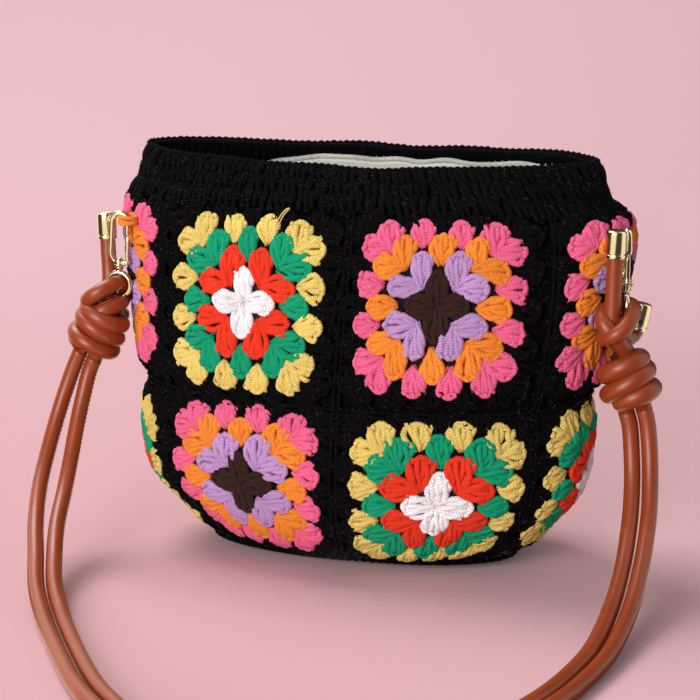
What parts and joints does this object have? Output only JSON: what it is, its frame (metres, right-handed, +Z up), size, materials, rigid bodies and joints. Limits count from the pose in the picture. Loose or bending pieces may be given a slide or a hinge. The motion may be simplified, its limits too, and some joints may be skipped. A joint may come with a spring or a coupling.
{
  "type": "crocheted granny-square shoulder bag",
  "caption": "Crocheted shoulder bag of granny squares joined in black, with a white lining and a strap of knotted round leather cords clipped on by swivel snap clasps.",
  "frame": {"origin": "on the floor, at the middle of the underside of the base", "axes": "+Z up, +X to the right along the bag's width, -Y towards its front"},
  "size_m": [0.3186, 0.3542, 0.2084],
  "materials": {
    "black_yarn": "matte crocheted cotton yarn",
    "light_square_yarn": "matte crocheted cotton yarn in rounds of white, red, green and yellow",
    "dark_square_yarn": "matte crocheted cotton yarn in rounds of brown, lilac, orange and pink",
    "lining_knit": "matte off-white knit",
    "tan_leather": "smooth, slightly glossy",
    "gold_metal": "polished pale gold",
    "spring_steel": "satin"
  },
  "bodies": {
    "root": {"black_join_crochet": "black_yarn", "rim_band": "black_yarn", "crochet_base": "black_yarn", "lining": "lining_knit", "square_lower_front_right": "light_square_yarn", "square_lower_right": "light_square_yarn", "square_lower_back_right": "dark_square_yarn", "square_lower_back_left": "light_square_yarn", "square_lower_left": "light_square_yarn", "square_lower_front_left": "dark_square_yarn", "square_upper_front_right": "dark_square_yarn", "square_upper_right": "dark_square_yarn", "square_upper_back_right": "light_square_yarn", "square_upper_back_left": "dark_square_yarn", "square_upper_left": "dark_square_yarn", "square_upper_front_left": "light_square_yarn", "left_swivel_eye": "gold_metal", "left_strap_knot": "tan_leather", "left_end_cap_long": "gold_metal", "left_end_cap_short": "gold_metal", "right_swivel_eye": "gold_metal", "right_strap_knot": "tan_leather", "right_end_cap_long": "gold_metal", "right_end_cap_short": "gold_metal", "strap_cord_outer": "tan_leather", "strap_cord_inner": "tan_leather"},
    "left_clasp": {"left_hook": "gold_metal", "left_gate_pin": "gold_metal"},
    "left_lever": {"left_gate": "gold_metal", "left_gate_spring": "spring_steel"},
    "right_clasp": {"right_hook": "gold_metal", "right_gate_pin": "gold_metal"},
    "right_lever": {"right_gate": "gold_metal", "right_gate_spring": "spring_steel"}
  },
  "joints": [
    {"name": "left_clasp_swivel", "type": "hinge", "parent": "root", "child": "left_clasp", "pos_m": [-0.1238, -0.0255, 0.1465], "axis": [0.0523, 0, 0.9986], "range_deg": [-15, 15]},
    {"name": "left_gate_hinge", "type": "hinge", "parent": "left_clasp", "child": "left_lever", "pos_m": [-0.11908, -0.0255, 0.14866], "axis": [0, -1, 0], "range_deg": [0, 20], "stiffness_Nm_per_rad": 0.02, "springref_deg": -17.19},
    {"name": "right_clasp_swivel", "type": "hinge", "parent": "root", "child": "right_clasp", "pos_m": [0.1363, -0.021, 0.15], "axis": [0, 0, 1], "range_deg": [-15, 15]},
    {"name": "right_gate_hinge", "type": "hinge", "parent": "right_clasp", "child": "right_lever", "pos_m": [0.13757, -0.02542, 0.1524], "axis": [-0.9613, -0.2756, 0], "range_deg": [0, 20], "stiffness_Nm_per_rad": 0.02, "springref_deg": -17.19}
  ]
}
